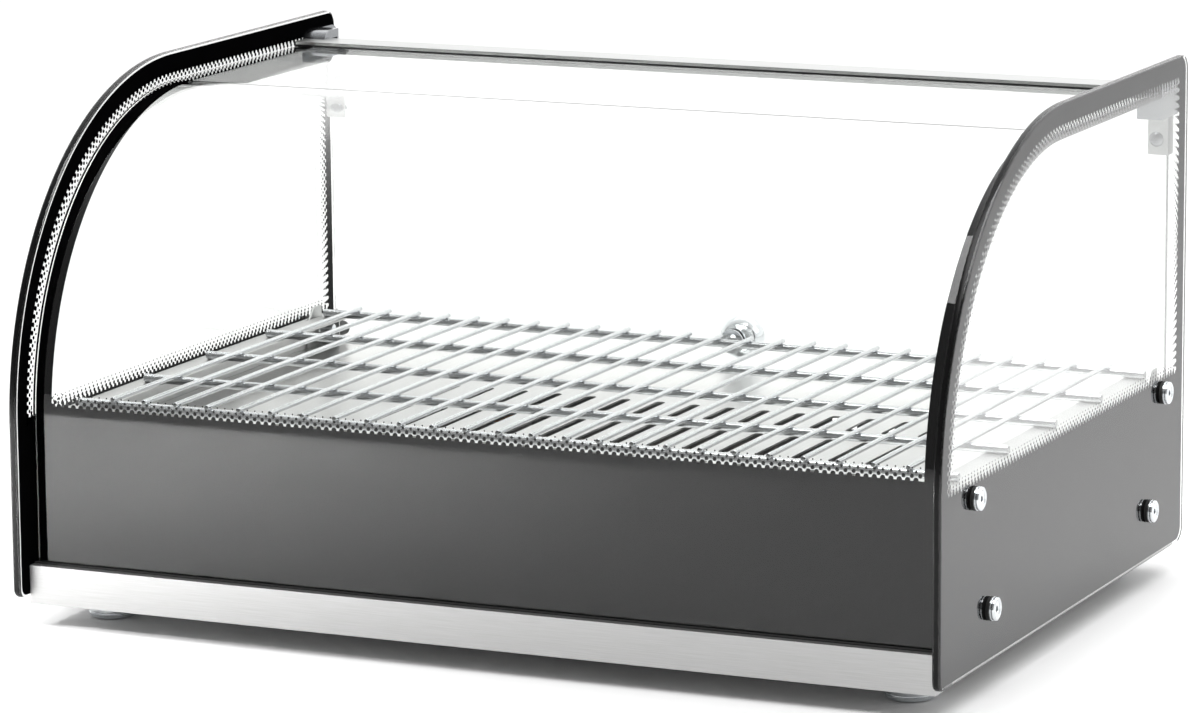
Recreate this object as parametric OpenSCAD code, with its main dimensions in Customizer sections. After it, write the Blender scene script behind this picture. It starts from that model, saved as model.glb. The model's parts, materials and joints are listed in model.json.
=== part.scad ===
// Counter-top hot food display case: bent front glass, printed side glasses,
// stainless heating base with a slotted deck, wire rack and a rear flap door.
// X is the width, +Y the rear, +Z up. Heights are from a level that lies foot_drop above the counter.

/* [Side glasses] */
// Width over the two side glasses
case_w = 556; // [540:2:600]
// Depth of a side glass
case_d = 396; // [392:1:404]
// Height of the top edge of the side glasses
case_top = 301; // [299:1:306]
// Height of the bottom edge of the side glasses
glass_bottom = 15; // [13:1:18]
// Thickness of a side glass
side_t = 5; // [4:1:6]
// Radius of the bend in the front edge
bend_r = 188; // [184:1:192]

/* [Front glass] */
// How far the front glass stands inside the side glasses' edge
front_inset = 16; // [14:1:20]
// Thickness of the front glass
front_t = 5; // [4:1:6]
// Where the top of the front glass ends, from the front
front_glass_end = 370; // [364:1:371]

/* [Base] */
// Thickness of the stainless sheet
sheet = 1.2; // [1:0.1:1.5]
// Height of the underside of the base pan
pan_bottom = 12.4; // [12:0.1:14]
// Height of the front lip
lip_h = 20.7; // [18:0.1:22]
// Height of the side walls, which carry the rack
wall_top = 116; // [114:1:120]
// Height of the top face of the deck
deck_top = 98; // [95:1:100]

/* [Rack] */
// Diameter of the wires that run from side to side
cross_d = 5; // [4:0.5:6]
// Diameter of the wires that run from front to rear
wire_d = 3; // [2.5:0.5:4]
// Spacing of the wires that run from front to rear
wire_pitch = 20; // [18:1:20]
// Spacing of the wires that run from side to side
cross_pitch = 75.5; // [70:0.5:76]

/* [Rear door] */
// Thickness of the door
door_t = 4; // [3:1:5]
// Diameter of the ball knob
knob_d = 27; // [24:1:30]

/* [Feet] */
// Diameter of a foot
foot_d = 28; // [24:0.5:32]
// How far the counter lies below the level that all heights are drawn from
foot_drop = 2; // [0:0.5:4]

/* [Hidden] */
$fn = 64;

eps = 0.01;
inner_x = case_w / 2 - side_t;      // inner face of a side glass
bend_z = case_top - bend_r;         // height where the bend starts
mid_y = 202;                        // middle of the base, from the front edge
front_corner_r = 6;
rear_corner_r = 9;

washer_t = 3;                       // between a side glass and its side wall
wall_x = inner_x - washer_t;        // outer face of a side wall
flange_w = 20;                      // inward flanges of a side wall
lip_y = 8.8;                        // front face of the lip
front_wall_y = front_inset + front_t + 3.5;
rear_panel_y = 390;
rear_face = rear_panel_y + sheet;   // outer face of the rear panel
pan_top = pan_bottom + sheet;
lip_top = pan_bottom + lip_h;
deck_half = wall_x - sheet - 0.3;

door_y = 379;                       // front face of the door
door_half = 267.2;
door_low = deck_top + 3;
pivot_y = door_y + door_t / 2;
pivot_z = case_top - 21;
door_high = pivot_z + 2;
pin_r = 3;
running = 0.05;                     // radial clearance of a running fit
knob_z = deck_top + 18;
hinge_plate_w = 10.8;
hinge_plate_t = 1.5;
hinge_plate_h = 39;
ear_r = 7;
hinge_screw_x = 261.5;
hinge_screw_z = [pivot_z - 27, pivot_z - 8];

bar_t = 3;
front_glass_top = case_top - front_inset;
bar_y = 340;
bar_d = 22;

reach = door_y + door_t + knob_d;   // front edge to the back of the knob
front_y = -reach / 2;               // the origin is under the middle of the depth

rack_z = wall_top + cross_d / 2 + 0.05;
rack_mid_y = mid_y + 5.5;
rack_half = 263;
cross_count = 5;
wire_count = 25;
wire_overhang = 4;
weld_sink = 0.4;                    // how far a wire sinks into the one it is welded to

slot_pitch = 22;
slot_count = 17;
slot_w = 6;
slot_rows = [[256, 38], [185, 56], [114, 38]]; // [middle, length]

foot_x = 242;
foot_ys = [50, 2 * mid_y - 50];
base_screw_xs = [-170, 0, 170];
base_screw_ys = [mid_y - 150, mid_y + 160];
panel_screw_xs = [-255, -80, 80, 255];
panel_screw_zs = [pan_top + 8, deck_top - 10];

standoff_at = [
  [mid_y - 153.5, 109.7], [mid_y + 153.5, 109.7],
  [mid_y - 129.5, 45], [mid_y + 129.5, 45]
];
spacer_t = 1.8;
cap_t = 3.2;
cap_d = 13;
screw_r = 2.9;
screw_end = 255;                    // inner end of a standoff screw

stop_x = wall_x - sheet - 0.2;      // a rack stop's outer face
stop_y0 = 344;
stop_y1 = 362.2;                    // front face of its tab

control_z = 56;
thermostat_x = -110;
lamp_x = -150;
switch_x = -180;
inlet_x = -230;
rocker_tilt = 7;
rocker_at = [switch_x, rear_face - 1.5, control_z];

element_z = 82;
element_r = 3.25;
element_half = 190;
element_ys = [120, 180, 240, 300];
lead_r = 1.3;

steel = [0.78, 0.78, 0.78];
chrome = [0.85, 0.86, 0.88];
dark = [0.08, 0.08, 0.09];
clear = [0.8, 0.88, 0.9, 0.35];

// Moves a drawing whose Y starts at the side glasses' front edge into the part's frame
module from_front() {
  translate([0, front_y, foot_drop]) children();
}

// Stands a flat (Y, Z) outline up, from x to x + t
module across(x, t) {
  translate([x, 0, 0]) rotate([90, 0, 90]) linear_extrude(t) children();
}

// A box from one corner to the other
module block(a, b) {
  translate(a) cube(b - a);
}

// A rod along X from x0 to x1
module rod_x(x0, x1, y, z, r) {
  translate([x0, y, z]) rotate([0, 90, 0]) cylinder(r = r, h = x1 - x0);
}

// A rod along Y from y0 to y1
module rod_y(x, y0, y1, z, r) {
  translate([x, y0, z]) rotate([-90, 0, 0]) cylinder(r = r, h = y1 - y0);
}

// A rod along Z from z0 to z1
module rod_z(x, y, z0, z1, r) {
  translate([x, y, z0]) cylinder(r = r, h = z1 - z0);
}

// A rod from point a to point b
module link(a, b, r) {
  d = b - a;
  flat = norm([d.x, d.y]);
  translate(a) rotate([0, atan2(flat, d.z), atan2(d.y, d.x)]) cylinder(r = r, h = norm(d), $fn = 24);
}

// A bent wire through a list of points, with a ball a little larger at each bend
module wire_path(points, r) {
  for (i = [1:len(points) - 1]) link(points[i - 1], points[i], r);
  for (i = [1:len(points) - 2]) translate(points[i]) sphere(r = r * 1.08, $fn = 24);
}

// What a rounded corner takes off a sharp one at the origin
module corner_cut(r) {
  difference() {
    translate([-1, -1]) square(r + 1);
    translate([r, r]) circle(r);
  }
}

// Mirrors a right-hand piece to the left
module left() {
  mirror([1, 0, 0]) children();
}

// Puts a piece on both sides
module both_sides() {
  children();
  left() children();
}

// --- glass ---------------------------------------------------------------

// The front edge's shape, set in by the given distance, in (Y, Z)
module bent_area(inset, end, low) {
  r = bend_r - inset;
  translate([inset, low]) square([end - inset, bend_z - low + eps]);
  intersection() {
    translate([bend_r, bend_z]) circle(r, $fn = 180);
    translate([inset, bend_z]) square([r + eps, r]);
  }
  translate([bend_r, bend_z]) square([end - bend_r, r]);
}

module side_outline() {
  difference() {
    bent_area(0, case_d, glass_bottom);
    translate([0, glass_bottom]) corner_cut(front_corner_r);
    translate([case_d, glass_bottom]) rotate(90) corner_cut(rear_corner_r);
    translate([case_d, case_top]) rotate(180) corner_cut(rear_corner_r);
  }
}

module side_glass() {
  from_front() across(inner_x, side_t) difference() {
    side_outline();
    for (p = standoff_at) translate(p) circle(r = 4);
  }
}

module side_glass_left() {
  color(clear) left() side_glass();
}

module side_glass_right() {
  color(clear) side_glass();
}

module front_glass() {
  low = pan_top + 4;
  color(clear) from_front() across(1 - inner_x, 2 * (inner_x - 1)) difference() {
    bent_area(front_inset, front_glass_end, low);
    bent_area(front_inset + front_t, front_glass_end + 1, low - 1);
  }
}

// Rubber channel that holds the front glass's lower edge
module front_glass_gasket() {
  low = pan_top + 0.2;
  y0 = front_inset - 1.8;
  y1 = front_wall_y - 0.2;
  color(dark) from_front() difference() {
    block([1 - inner_x, y0, low], [inner_x - 1, y1, lip_top + 1]);
    block([-inner_x, front_inset, pan_top + 4], [inner_x, front_inset + front_t, lip_top + 2]);
  }
}

// --- base ----------------------------------------------------------------

module base_pan() {
  side = inner_x - 1;
  color(steel) from_front() difference() {
    union() {
      block([-side, lip_y, pan_bottom], [side, rear_panel_y - 0.2, pan_top]);
      block([-side, lip_y, pan_bottom], [side, lip_y + sheet, lip_top]);
      block([-side, lip_y, lip_top - sheet], [side, front_inset - 2, lip_top]);
      // hem under the lip
      block([-side, lip_y, pan_bottom - sheet], [side, lip_y + 12, pan_bottom]);
    }
    for (y = foot_ys, x = [-foot_x, foot_x]) rod_z(x, y, pan_bottom - 5, pan_top + 5, 3.2);
    for (x = base_screw_xs, y = base_screw_ys) rod_z(x, y, pan_bottom - 5, pan_top + 5, 1.6);
  }
}

module front_wall() {
  half = deck_half;
  y = front_wall_y;
  color(steel) from_front() {
    block([-half, y, pan_top], [half, y + sheet, wall_top]);
    block([-half, y, wall_top - sheet], [half, y + 10, wall_top]);
    block([-half, y, pan_top], [half, y + 12, pan_top + sheet]);
  }
}

module side_wall() {
  y0 = front_wall_y;
  color(steel) from_front() difference() {
    union() {
      block([wall_x - sheet, y0, pan_top], [wall_x, rear_panel_y - 0.2, wall_top]);
      block([wall_x - flange_w, y0 + 12, wall_top - sheet], [wall_x, door_y - 6, wall_top]);
      block([wall_x - flange_w, y0 + 14, pan_top], [wall_x, rear_panel_y - 14, pan_top + sheet]);
    }
    for (p = standoff_at) rod_x(wall_x - 5, wall_x + 5, p.x, p.y, screw_r + 0.3);
    // notch where the rack stop stands
    block([stop_x - sheet - 0.5, stop_y0 - 1, wall_top - sheet - 1],
          [wall_x - sheet, door_y, wall_top + 1]);
    block([wall_x - flange_w - 1, stop_y1 - 0.3, wall_top - sheet - 1],
          [wall_x - sheet, door_y, wall_top + 1]);
  }
}

module side_wall_left() {
  left() side_wall();
}

module side_wall_right() {
  side_wall();
}

// Deck with three rows of slots that let the warm air rise
module deck() {
  color(chrome) from_front() {
    translate([0, 0, deck_top - sheet]) linear_extrude(sheet) difference() {
      translate([-deck_half, front_wall_y + sheet + 0.2])
        square([2 * deck_half, rear_face - front_wall_y - sheet - 0.2]);
      for (row = slot_rows, i = [0:slot_count - 1]) {
        translate([(i - (slot_count - 1) / 2) * slot_pitch, row[0]]) slot(row[1]);
      }
    }
    block([-deck_half, front_wall_y + sheet + 0.2, deck_top - 10],
          [deck_half, front_wall_y + 2 * sheet + 0.2, deck_top]);
  }
}

// A slot with round ends, running from front to rear
module slot(length) {
  reach_y = (length - slot_w) / 2;
  square([slot_w, 2 * reach_y], center = true);
  for (s = [-1, 1]) translate([0, s * reach_y]) circle(d = slot_w, $fn = 24);
}

module rear_panel() {
  color(steel) from_front() difference() {
    union() {
      block([-deck_half, rear_panel_y, pan_bottom], [deck_half, rear_face, deck_top - sheet - 0.1]);
      block([-deck_half, rear_panel_y - 12, pan_top],
            [deck_half, rear_panel_y + eps, pan_top + sheet]);
    }
    block([switch_x - 9.2, rear_panel_y - 1, control_z - 13.8],
          [switch_x + 9.2, rear_face + 1, control_z + 13.8]);
    block([inlet_x - 14, rear_panel_y - 1, control_z - 10.5],
          [inlet_x + 14, rear_face + 1, control_z + 10.5]);
    rod_y(thermostat_x, rear_panel_y - 1, rear_face + 1, control_z, 5.3);
    rod_y(lamp_x, rear_panel_y - 1, rear_face + 1, control_z, 4.2);
    for (s = [-1, 1]) rod_y(inlet_x + 20 * s, rear_panel_y - 1, rear_face + 1, control_z, 1.7);
    for (x = panel_screw_xs, z = panel_screw_zs) rod_y(x, rear_panel_y - 1, rear_face + 1, z, 1.6);
    for (i = [0:11]) vent(60 + 12 * i);
  }
}

// One vent opening in the rear panel
module vent(x) {
  block([x, rear_panel_y - 1, control_z - 18], [x + 4, rear_face + 1, control_z + 18]);
}

// --- top corners ---------------------------------------------------------

module rear_top_bar() {
  half = inner_x - 1;
  color(steel) from_front()
    block([-half, bar_y, front_glass_top], [half, bar_y + bar_d, front_glass_top + bar_t]);
}

// Side view of a corner clamp, in (Y, Z)
module clamp_outline() {
  low = pivot_z - 12;
  high = pivot_z + 13;
  y0 = 352;
  y1 = 393;
  cut = 12;
  difference() {
    translate([y0, low]) square([y1 - y0, high - low]);
    translate([y0, high]) rotate(-90) corner_cut(9);
    translate([y1, high]) rotate(180) corner_cut(9);
    polygon([[y1 - cut, low - eps], [y1 + eps, low - eps], [y1 + eps, low + cut]]);
  }
}

module corner_clamp() {
  plate_x = door_half + hinge_plate_t + 0.6;
  jaw = 11;
  color(chrome) from_front() difference() {
    union() {
      across(plate_x, inner_x - plate_x) clamp_outline();
      across(plate_x - jaw, jaw + eps) intersection() {
        clamp_outline();
        translate([350, 0]) square([22, 400]);
      }
    }
    // slot for the glass and the bar
    block([plate_x - jaw - 1, 340, front_glass_top - front_t],
          [inner_x - 0.8, front_glass_end + 0.2, front_glass_top + bar_t]);
    rod_x(plate_x - 1, inner_x + 1, pivot_y, pivot_z, pin_r);
    rod_x(inner_x - 1.5, inner_x + 1, pivot_y, pivot_z, 7.5);
  }
}

module corner_clamp_left() {
  left() corner_clamp();
}

module corner_clamp_right() {
  corner_clamp();
}

module pivot_pin() {
  color(chrome) from_front() {
    rod_x(door_half - 3, inner_x - 0.5, pivot_y, pivot_z, pin_r);
    rod_x(inner_x - 1.5, inner_x - 0.1, pivot_y, pivot_z, 7.5);
  }
}

module pivot_pin_left() {
  left() pivot_pin();
}

module pivot_pin_right() {
  pivot_pin();
}

// --- rear door -----------------------------------------------------------

module door_glass() {
  color(clear) from_front() difference() {
    block([-door_half, door_y, door_low], [door_half, door_y + door_t, door_high]);
    for (x = [-hinge_screw_x, hinge_screw_x], z = hinge_screw_z) {
      rod_y(x, door_y - 1, door_y + door_t + 1, z, 2.2);
    }
    rod_y(0, door_y - 1, door_y + door_t + 1, knob_z, 2.6);
    // notches for the pivot pins
    both_sides() block([door_half - 4, door_y - 1, pivot_z - 4],
                       [door_half + 1, door_y + door_t + 1, door_high + 1]);
  }
}

module door_hinge() {
  color(steel) from_front() difference() {
    union() {
      block([door_half - hinge_plate_w, door_y - hinge_plate_t, pivot_z - 36],
            [door_half + hinge_plate_t, door_y, pivot_z - 4]);
      across(door_half, hinge_plate_t) {
        translate([door_y - hinge_plate_t, pivot_z - 36]) square([9, 36]);
        translate([pivot_y, pivot_z]) circle(ear_r);
      }
    }
    rod_x(door_half - 1, door_half + 3, pivot_y, pivot_z, pin_r + running);
    for (z = hinge_screw_z) rod_y(hinge_screw_x, door_y - 3, door_y + 1, z, 2.1);
  }
}

module door_hinge_left() {
  left() door_hinge();
}

module door_hinge_right() {
  door_hinge();
}

module door_hinge_screws() {
  head_y = door_y - hinge_plate_t;
  color(chrome) from_front() both_sides() for (z = hinge_screw_z) {
    pan_head(hinge_screw_x, head_y, z, 4.4, -1);
    rod_y(hinge_screw_x, head_y, door_y + door_t + 1.5, z, 2);
    rod_y(hinge_screw_x, door_y + door_t, door_y + door_t + 3, z, 3.6);
  }
}

// A low domed screw head on the plane y, facing -Y (side -1) or +Y (side 1)
module pan_head(x, y, z, r, side) {
  height = r * 0.55;
  ball = (r * r + height * height) / (2 * height);
  translate([x, y, z]) rotate([-90 * side, 0, 0]) difference() {
    intersection() {
      translate([0, 0, height - ball]) sphere(r = ball);
      cylinder(r = r, h = height + 1);
    }
    for (a = [0, 90]) rotate(a) translate([0, 0, height]) cube([r, r * 0.22, r * 0.7], center = true);
  }
}

module door_knob() {
  ball_r = knob_d / 2;
  y0 = door_y + door_t;
  color(chrome) from_front() difference() {
    union() {
      translate([0, y0 + ball_r, knob_z]) sphere(r = ball_r);
      rod_y(0, y0, y0 + 5, knob_z, 7.5);
    }
    rod_y(0, y0 - 1, y0 + 10, knob_z, 2);
  }
}

module door_knob_washer() {
  color(chrome) from_front() difference() {
    rod_y(0, door_y - 1, door_y, knob_z, 7.5);
    rod_y(0, door_y - 2, door_y + 1, knob_z, 2.1);
  }
}

module door_knob_screw() {
  color(chrome) from_front() {
    pan_head(0, door_y - 1, knob_z, 4.6, -1);
    rod_y(0, door_y - 1, door_y + door_t + 9, knob_z, 2);
  }
}

// Bracket behind the rack in a rear corner, held by the upper rear standoff
module rack_stop() {
  low = deck_top;
  high = wall_top + 6.5;
  tab_high = wall_top - 1;
  at = standoff_at[1];
  color(steel) from_front() {
    difference() {
      across(stop_x - sheet, sheet) difference() {
        translate([stop_y0, low]) square([stop_y1 + sheet - stop_y0, high - low]);
        polygon([[stop_y0 - 1, high - 12], [stop_y0 - 1, high + 1], [stop_y0 + 10, high + 1]]);
      }
      rod_x(stop_x - 5, stop_x + 5, at.x, at.y, screw_r + 0.3);
    }
    block([stop_x - 13.6, stop_y1, low], [stop_x - sheet + eps, stop_y1 + sheet, tab_high]);
  }
}

module rack_stop_left() {
  left() rack_stop();
}

module rack_stop_right() {
  rack_stop();
}

// Rubber buffers that the closed door rests on
module door_buffers() {
  color(dark) from_front() both_sides()
    rod_y(stop_x - 8, stop_y1 + sheet, door_y - 0.1, deck_top + 8, 4.5);
}

// --- rack ----------------------------------------------------------------

module wire_rack() {
  last_y = rack_mid_y + cross_pitch * (cross_count - 1) / 2 + wire_overhang;
  first_y = 2 * rack_mid_y - last_y;
  top_z = rack_z + cross_d / 2 + wire_d / 2 - weld_sink;
  color(chrome) from_front() {
    for (i = [0:cross_count - 1]) {
      y = rack_mid_y + (i - (cross_count - 1) / 2) * cross_pitch;
      rod_x(-rack_half, rack_half, y, rack_z, cross_d / 2, $fn = 32);
    }
    for (i = [0:wire_count - 1]) {
      x = (i - (wire_count - 1) / 2) * wire_pitch;
      rod_y(x, first_y, last_y, top_z, wire_d / 2, $fn = 32);
    }
  }
}

// --- feet ----------------------------------------------------------------

// A turned foot with its stud, on the counter
module foot(side, y) {
  r = foot_d / 2;
  edge = 1.5;
  low = 0.5 - foot_drop;
  color(chrome) from_front() translate([side * foot_x, y, 0]) difference() {
    union() {
      rotate_extrude() polygon([
        [0, low], [r - 1, low], [r, low + 1], [r, pan_bottom - sheet - edge],
        [r - edge, pan_bottom - sheet], [8, pan_bottom - sheet], [8, pan_bottom], [0, pan_bottom]
      ]);
      cylinder(r = 3, h = pan_top + 9);
    }
    translate([0, 0, low - 1.5]) cylinder(r = 10.05, h = 2.5);
  }
}

module foot_front_left() {
  foot(-1, foot_ys[0]);
}

module foot_front_right() {
  foot(1, foot_ys[0]);
}

module foot_rear_left() {
  foot(-1, foot_ys[1]);
}

module foot_rear_right() {
  foot(1, foot_ys[1]);
}

module foot_pads() {
  color(dark) from_front() for (x = [-foot_x, foot_x], y = foot_ys) rod_z(x, y, -foot_drop, 1.5 - foot_drop, 10);
}

module foot_nuts() {
  color(steel) from_front() for (x = [-foot_x, foot_x], y = foot_ys) difference() {
    translate([x, y, pan_top]) cylinder(d = 11.5, h = 5, $fn = 6);
    rod_z(x, y, 0, 40, 3);
  }
}

// --- standoffs that hold the side glasses --------------------------------

// Repeats a piece drawn at the origin along +X, at every standoff
module at_standoffs(x) {
  from_front() both_sides() for (p = standoff_at) translate([x, p.x, p.y]) children();
}

module standoff_caps() {
  head_x = case_w / 2 + spacer_t;
  color(chrome) at_standoffs(head_x) {
    difference() {
      union() {
        rod_x(0, 1, 0, 0, cap_d / 2);
        rod_x(0, cap_t, 0, 0, cap_d / 2 - 0.7);
        rod_x(1.5, cap_t, 0, 0, cap_d / 2);
      }
      rod_x(cap_t - 1.2, cap_t + 1, 0, 0, cap_d / 2 - 2);
    }
    difference() {
      rod_x(cap_t - 1.4, cap_t, 0, 0, cap_d / 2 - 3);
      rod_x(cap_t - 2.6, cap_t + 1, 0, 0, 1.6, $fn = 6);
    }
    rod_x(screw_end - case_w / 2 - spacer_t, 0, 0, 0, screw_r);
  }
}

module standoff_spacers() {
  color(dark) at_standoffs(case_w / 2) difference() {
    rod_x(0, spacer_t, 0, 0, cap_d / 2);
    rod_x(-1, spacer_t + 1, 0, 0, screw_r + 0.1);
  }
}

module standoff_washers() {
  color(dark) at_standoffs(wall_x) difference() {
    rod_x(0, washer_t, 0, 0, 7);
    rod_x(-1, washer_t + 1, 0, 0, screw_r + 0.1);
  }
}

module standoff_nuts() {
  nut_t = 4;
  color(steel) from_front() both_sides() for (i = [0:3]) {
    // the upper rear nut also clamps the rack stop
    x = (i == 1 ? stop_x : wall_x) - sheet - nut_t;
    translate([x, standoff_at[i].x, standoff_at[i].y]) difference() {
      rotate([0, 90, 0]) cylinder(d = 9.6, h = nut_t, $fn = 6);
      rod_x(-1, nut_t + 1, 0, 0, screw_r);
    }
  }
}

// --- heating -------------------------------------------------------------

// Half a turn that joins two legs of the element, at x, bulging to side
module element_bend(x, y, side) {
  r = (element_ys[1] - element_ys[0]) / 2;
  translate([x, y, element_z]) rotate(-90 * side)
    rotate_extrude(angle = 180) translate([r, 0]) circle(element_r);
}

module heating_element() {
  tail = 26;
  color(steel) from_front() {
    for (y = element_ys) rod_x(-element_half, element_half, y, element_z, element_r);
    element_bend(element_half, (element_ys[0] + element_ys[1]) / 2, 1);
    element_bend(-element_half, (element_ys[1] + element_ys[2]) / 2, -1);
    element_bend(element_half, (element_ys[2] + element_ys[3]) / 2, 1);
    for (y = [element_ys[0], element_ys[3]]) {
      rod_x(-element_half - tail, -element_half, y, element_z, element_r);
      rod_x(-element_half - tail - 8, -element_half - tail, y, element_z, 1.6);
    }
  }
}

// Strips under the element, hung from the deck
module element_hangers() {
  y0 = element_ys[0] - 12;
  y1 = element_ys[3] + 12;
  low = element_z - element_r - sheet;
  high = deck_top - sheet;
  color(steel) from_front() for (x = [-127, 115]) {
    block([x, y0, low], [x + 12, y1, low + sheet]);
    for (y = [y0, y1 - sheet]) block([x, y, low], [x + 12, y + sheet, high]);
  }
}

module heat_shield() {
  z = 32;
  color(steel) from_front() {
    block([-225, 90, z], [225, 330, z + 0.8]);
    for (y = [90, 329.2]) block([-225, y, z], [225, y + 0.8, z + 8]);
  }
}

module heat_shield_posts() {
  color(steel) from_front() for (x = [-200, 200], y = [110, 310]) rod_z(x, y, pan_top, 32, 4);
}

// --- electrics -----------------------------------------------------------

module thermostat_body() {
  x = thermostat_x;
  color(dark) from_front() difference() {
    union() {
      block([x - 17, rear_panel_y - 24, control_z - 17], [x + 17, rear_panel_y - 4, control_z + 17]);
      block([x - 12, rear_panel_y - 4, control_z - 12], [x + 12, rear_panel_y, control_z + 12]);
      rod_y(x, rear_panel_y - 4, rear_face + 1, control_z, 5);
    }
    rod_y(x, rear_panel_y - 16, rear_face + 2, control_z, pin_r + running);
  }
}

module thermostat_shaft() {
  color(steel) from_front()
    rod_y(thermostat_x, rear_panel_y - 15.9, rear_face + 13, control_z, pin_r);
}

module thermostat_knob() {
  y0 = rear_face + 1.4;
  grip = reach - y0;
  color(dark) from_front() translate([thermostat_x, y0, control_z]) rotate([-90, 0, 0]) difference() {
    union() {
      cylinder(r = 19, h = 2.5);
      cylinder(r = 17, h = 4);
      translate([0, 0, 4 - eps]) cylinder(r = 12.5, h = grip - 4 + eps);
      // raised pointer across the grip
      translate([-2.5, -15, 4 - eps]) cube([5, 30, grip - 4 + eps]);
    }
    translate([0, 0, -1]) cylinder(r = pin_r, h = rear_face + 14 - y0);
    translate([-0.6, -15.1, grip - 0.6]) cube([1.2, 9, 1]);
  }
}

module thermostat_bulb() {
  x = thermostat_x;
  z = deck_top - sheet - 3.4;
  color("goldenrod") from_front() {
    rod_x(x - 60, x + 20, 345, z, 3);
    wire_path([
      [x + 19.9, 345, z], [x + 34, 345, z - 4], [x + 34, 352, control_z + 24],
      [x + 14, 360, control_z + 12], [x + 8, rear_panel_y - 24.4, control_z + 4]
    ], 0.8);
  }
}

module thermal_cutout() {
  x = -20;
  y = 345;
  top = deck_top - sheet;
  color(dark) from_front() {
    rod_z(x, y, top - 9, top, 8);
    for (s = [-1, 1]) block([x + 5 * s - 0.4, y - 12, top - 8], [x + 5 * s + 0.4, y - 4, top - 2]);
  }
}

module switch_body() {
  x = switch_x;
  y1 = rear_face + 2;
  color(dark) from_front() difference() {
    union() {
      block([x - 9, rear_panel_y - 22, control_z - 13.5], [x + 9, rear_face, control_z + 13.5]);
      block([x - 11, rear_face, control_z - 15.5], [x + 11, y1, control_z + 15.5]);
      for (i = [-1:1]) block([x - 3, rear_panel_y - 30, control_z + 8 * i - 0.4],
                             [x + 3, rear_panel_y - 21, control_z + 8 * i + 0.4]);
    }
    block([x - 7, rocker_at.y - 9, control_z - 10.8], [x + 7, y1 + 1, control_z + 10.8]);
    rod_x(x - 9, x + 9, rocker_at.y, control_z, 1.5 + running);
  }
}

// Rocker, tipped to its off side
module switch_rocker() {
  color([0.7, 0.1, 0.08]) from_front() translate(rocker_at) rotate([-rocker_tilt, 0, 0]) {
    across(-6.7, 13.4) polygon([
      [-5, -5], [-5, 5], [-1, 9.6], [4, 9.6], [6, 0], [4, -9.6], [-1, -9.6]
    ]);
    rod_x(-8.6, 8.6, 0, 0, 1.5);
  }
}

module pilot_lamp() {
  color([0.9, 0.4, 0.1]) from_front() {
    rod_y(lamp_x, rear_panel_y - 20, rear_face, control_z, 4.1);
    rod_y(lamp_x, rear_face, rear_face + 1.5, control_z, 6);
    translate([lamp_x, rear_face + 1.4, control_z]) sphere(r = 4.4);
  }
}

module power_inlet() {
  x = inlet_x;
  y1 = rear_face + 2.5;
  color(dark) from_front() difference() {
    union() {
      block([x - 13.6, rear_panel_y - 20, control_z - 10.1], [x + 13.6, rear_face, control_z + 10.1]);
      block([x - 25, rear_face, control_z - 12], [x + 25, y1, control_z + 12]);
    }
    block([x - 12.2, rear_panel_y - 14.5, control_z - 8.3], [x + 12.2, y1 + 1, control_z + 8.3]);
    for (s = [-1, 1]) rod_y(x + 20 * s, rear_face - 1, y1 + 1, control_z, 1.7);
    for (p = inlet_pin_at) block([x + p.x - 1, 0, control_z + p.y - 2], [x + p.x + 1, 380, control_z + p.y + 2]);
  }
}

inlet_pin_at = [[-7, 2], [0, -2], [7, 2]];

module inlet_pins() {
  color(chrome) from_front() for (p = inlet_pin_at) {
    block([inlet_x + p.x - 1, rear_panel_y - 28, control_z + p.y - 2],
          [inlet_x + p.x + 1, rear_panel_y, control_z + p.y + 2]);
  }
}

module inlet_screws() {
  y1 = rear_face + 2.5;
  color(chrome) from_front() for (s = [-1, 1]) {
    pan_head(inlet_x + 20 * s, y1, control_z, 2.8, 1);
    rod_y(inlet_x + 20 * s, rear_panel_y - 5, y1, control_z, 1.5);
  }
}

module terminal_block() {
  color([0.9, 0.9, 0.85]) from_front() difference() {
    block([-216, 338, pan_top], [-150, 356, pan_top + 16]);
    for (i = [0:5]) rod_z(-210 + 11 * i, 347, pan_top + 6, pan_top + 20, 2.6);
  }
}

module earth_stud() {
  color("goldenrod") from_front() {
    rod_z(-130, 350, pan_top, pan_top + 16, 2);
    translate([-130, 350, pan_top]) cylinder(d = 8, h = 3.2, $fn = 6);
    rod_z(-130, 350, pan_top + 3.2, pan_top + 4.4, 5);
  }
}

// Insulated leads between the terminal block and what it feeds
module wiring_loom() {
  tab_y = rear_panel_y - 29.8;
  body_y = rear_panel_y - 25.6;
  tail_x = -element_half - 36;
  color([0.8, 0.5, 0.2]) from_front() {
    lead(0, [[-236, 348, 44], [inlet_x - 7, tab_y, control_z + 2]]);
    lead(1, [[-214, 346, 46], [inlet_x + 7, tab_y, control_z + 2]]);
    lead(2, [[-184, 350, 46], [switch_x, rear_panel_y - 31.6, control_z]]);
    lead(3, [[-205, 322, 56], [tail_x, element_ys[3], element_z]]);
    lead(4, [[-170, 338, 45], [-205, 170, 52], [tail_x, element_ys[0], element_z]]);
    lead(5, [[-120, 352, 36], [thermostat_x - 8, body_y, control_z - 6]]);
    // earth lead
    wire_path([[-135, 344, 20], [-145, 333.5, 20], [-232, 333.5, 20], [-245, 345, 30],
               [inlet_x, tab_y, control_z - 2]], lead_r);
    // to the thermal cutout
    wire_path([[thermostat_x + 8, body_y, control_z - 6], [-60, 345, 70], [-25, 331.4, 91]], lead_r);
  }
}

// A lead that rises from the terminal block's nth hole and follows the route
module lead(n, route) {
  x = -210 + 11 * n;
  wire_path(concat([[x, 347, pan_top + 12], [x, 347, pan_top + 18]], route), lead_r);
}

// --- screws --------------------------------------------------------------

module rear_panel_screws() {
  color(chrome) from_front() for (x = panel_screw_xs, z = panel_screw_zs) {
    pan_head(x, rear_face, z, 3.2, 1);
    rod_y(x, rear_panel_y - 5, rear_face, z, 1.5);
  }
}

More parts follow.
